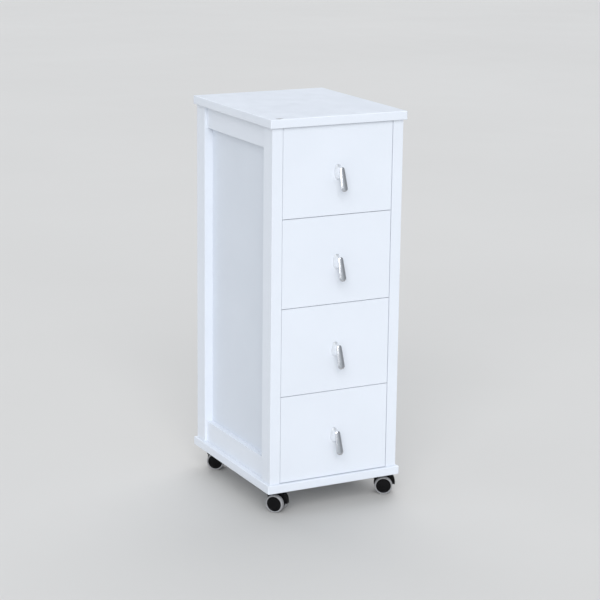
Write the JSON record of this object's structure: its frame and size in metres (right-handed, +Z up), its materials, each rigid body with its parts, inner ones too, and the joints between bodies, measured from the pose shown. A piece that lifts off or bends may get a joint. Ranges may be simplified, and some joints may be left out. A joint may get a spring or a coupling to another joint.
{
  "type": "rolling pedestal cabinet",
  "caption": "Narrow white wooden pedestal cabinet with stacked sliding drawers, small leaning metal pulls, panelled sides and twin-wheel swivel casters.",
  "frame": {"origin": "on the floor, under the centre of the overall box, pulls included", "axes": "+Z up, +X to the right seen from the front, +Y towards the back; drawers open towards -Y"},
  "size_m": [0.3139, 0.3882, 0.814],
  "materials": {
    "white_lacquer": "satin white lacquer over wood",
    "white_board": "matt white thin board",
    "raw_wood": "sanded, clear-sealed pale wood",
    "chrome": "polished chrome plate",
    "zinc_steel": "bright zinc plate",
    "black_nylon": "moulded black nylon",
    "wheel_plastic": "black hub with a moulded-on pale grey tread",
    "grey_tread": "pale grey thermoplastic rubber"
  },
  "bodies": {
    "carcass": {"top_panel": "white_lacquer", "base_panel": "white_lacquer", "front_left_post": "white_lacquer", "front_right_post": "white_lacquer", "back_left_post": "white_lacquer", "back_right_post": "white_lacquer", "left_side_rails": "white_lacquer", "right_side_rails": "white_lacquer", "left_side_panel": "white_lacquer", "right_side_panel": "white_lacquer", "back_panel": "white_lacquer", "back_panel_nails": "zinc_steel", "frame_dowels": "raw_wood", "base_screws": "zinc_steel", "left_runners": "raw_wood", "right_runners": "raw_wood", "runner_screws": "zinc_steel", "caster_plates": "zinc_steel", "caster_screws": "zinc_steel"},
    "drawer_1": {"drawer_1_front": "white_lacquer", "drawer_1_sides": "raw_wood", "drawer_1_back": "raw_wood", "drawer_1_bottom": "white_board", "drawer_1_pull": "chrome", "drawer_1_pull_screw": "zinc_steel"},
    "drawer_2": {"drawer_2_front": "white_lacquer", "drawer_2_sides": "raw_wood", "drawer_2_back": "raw_wood", "drawer_2_bottom": "white_board", "drawer_2_pull": "chrome", "drawer_2_pull_screw": "zinc_steel"},
    "drawer_3": {"drawer_3_front": "white_lacquer", "drawer_3_sides": "raw_wood", "drawer_3_back": "raw_wood", "drawer_3_bottom": "white_board", "drawer_3_pull": "chrome", "drawer_3_pull_screw": "zinc_steel"},
    "drawer_4": {"drawer_4_front": "white_lacquer", "drawer_4_sides": "raw_wood", "drawer_4_back": "raw_wood", "drawer_4_bottom": "white_board", "drawer_4_pull": "chrome", "drawer_4_pull_screw": "zinc_steel"},
    "front_left_swivel": {"front_left_caster_hood": "black_nylon", "front_left_caster_axle": "zinc_steel"},
    "front_left_left_wheel": {"front_left_caster_left_wheel": "wheel_plastic"},
    "front_left_right_wheel": {"front_left_caster_right_wheel": "wheel_plastic"},
    "front_right_swivel": {"front_right_caster_hood": "black_nylon", "front_right_caster_axle": "zinc_steel"},
    "front_right_left_wheel": {"front_right_caster_left_wheel": "wheel_plastic"},
    "front_right_right_wheel": {"front_right_caster_right_wheel": "wheel_plastic"},
    "back_left_swivel": {"back_left_caster_hood": "black_nylon", "back_left_caster_axle": "zinc_steel"},
    "back_left_left_wheel": {"back_left_caster_left_wheel": "wheel_plastic"},
    "back_left_right_wheel": {"back_left_caster_right_wheel": "wheel_plastic"},
    "back_right_swivel": {"back_right_caster_hood": "black_nylon", "back_right_caster_axle": "zinc_steel"},
    "back_right_left_wheel": {"back_right_caster_left_wheel": "wheel_plastic"},
    "back_right_right_wheel": {"back_right_caster_right_wheel": "wheel_plastic"}
  },
  "joints": [
    {"name": "drawer_1_slide", "type": "slide", "parent": "carcass", "child": "drawer_1", "axis": [0, -1, 0], "range_m": [0, 0.23]},
    {"name": "drawer_2_slide", "type": "slide", "parent": "carcass", "child": "drawer_2", "axis": [0, -1, 0], "range_m": [0, 0.23]},
    {"name": "drawer_3_slide", "type": "slide", "parent": "carcass", "child": "drawer_3", "axis": [0, -1, 0], "range_m": [0, 0.23]},
    {"name": "drawer_4_slide", "type": "slide", "parent": "carcass", "child": "drawer_4", "axis": [0, -1, 0], "range_m": [0, 0.23]},
    {"name": "front_left_swivel_turn", "type": "hinge", "parent": "carcass", "child": "front_left_swivel", "pos_m": [-0.1245, -0.12693, 0.04], "axis": [0, 0, 1], "continuous": true},
    {"name": "front_left_left_wheel_spin", "type": "hinge", "parent": "front_left_swivel", "child": "front_left_left_wheel", "pos_m": [-0.1155, -0.13765, 0.019], "axis": [-0.766, -0.6428, 0], "continuous": true},
    {"name": "front_left_right_wheel_spin", "type": "hinge", "parent": "front_left_swivel", "child": "front_left_right_wheel", "pos_m": [-0.1155, -0.13765, 0.019], "axis": [-0.766, -0.6428, 0], "continuous": true},
    {"name": "front_right_swivel_turn", "type": "hinge", "parent": "carcass", "child": "front_right_swivel", "pos_m": [0.1245, -0.12693, 0.04], "axis": [0, 0, 1], "continuous": true},
    {"name": "front_right_left_wheel_spin", "type": "hinge", "parent": "front_right_swivel", "child": "front_right_left_wheel", "pos_m": [0.13686, -0.1335, 0.019], "axis": [-0.4695, -0.8829, 0], "continuous": true},
    {"name": "front_right_right_wheel_spin", "type": "hinge", "parent": "front_right_swivel", "child": "front_right_right_wheel", "pos_m": [0.13686, -0.1335, 0.019], "axis": [-0.4695, -0.8829, 0], "continuous": true},
    {"name": "back_left_swivel_turn", "type": "hinge", "parent": "carcass", "child": "back_left_swivel", "pos_m": [-0.1245, 0.16607, 0.04], "axis": [0, 0, 1], "continuous": true},
    {"name": "back_left_left_wheel_spin", "type": "hinge", "parent": "back_left_swivel", "child": "back_left_left_wheel", "pos_m": [-0.11378, 0.15707, 0.019], "axis": [-0.6428, -0.766, 0], "continuous": true},
    {"name": "back_left_right_wheel_spin", "type": "hinge", "parent": "back_left_swivel", "child": "back_left_right_wheel", "pos_m": [-0.11378, 0.15707, 0.019], "axis": [-0.6428, -0.766, 0], "continuous": true},
    {"name": "back_right_swivel_turn", "type": "hinge", "parent": "carcass", "child": "back_right_swivel", "pos_m": [0.1245, 0.16607, 0.04], "axis": [0, 0, 1], "continuous": true},
    {"name": "back_right_left_wheel_spin", "type": "hinge", "parent": "back_right_swivel", "child": "back_right_left_wheel", "pos_m": [0.13523, 0.15707, 0.019], "axis": [-0.6428, -0.766, 0], "continuous": true},
    {"name": "back_right_right_wheel_spin", "type": "hinge", "parent": "back_right_swivel", "child": "back_right_right_wheel", "pos_m": [0.13523, 0.15707, 0.019], "axis": [-0.6428, -0.766, 0], "continuous": true}
  ]
}
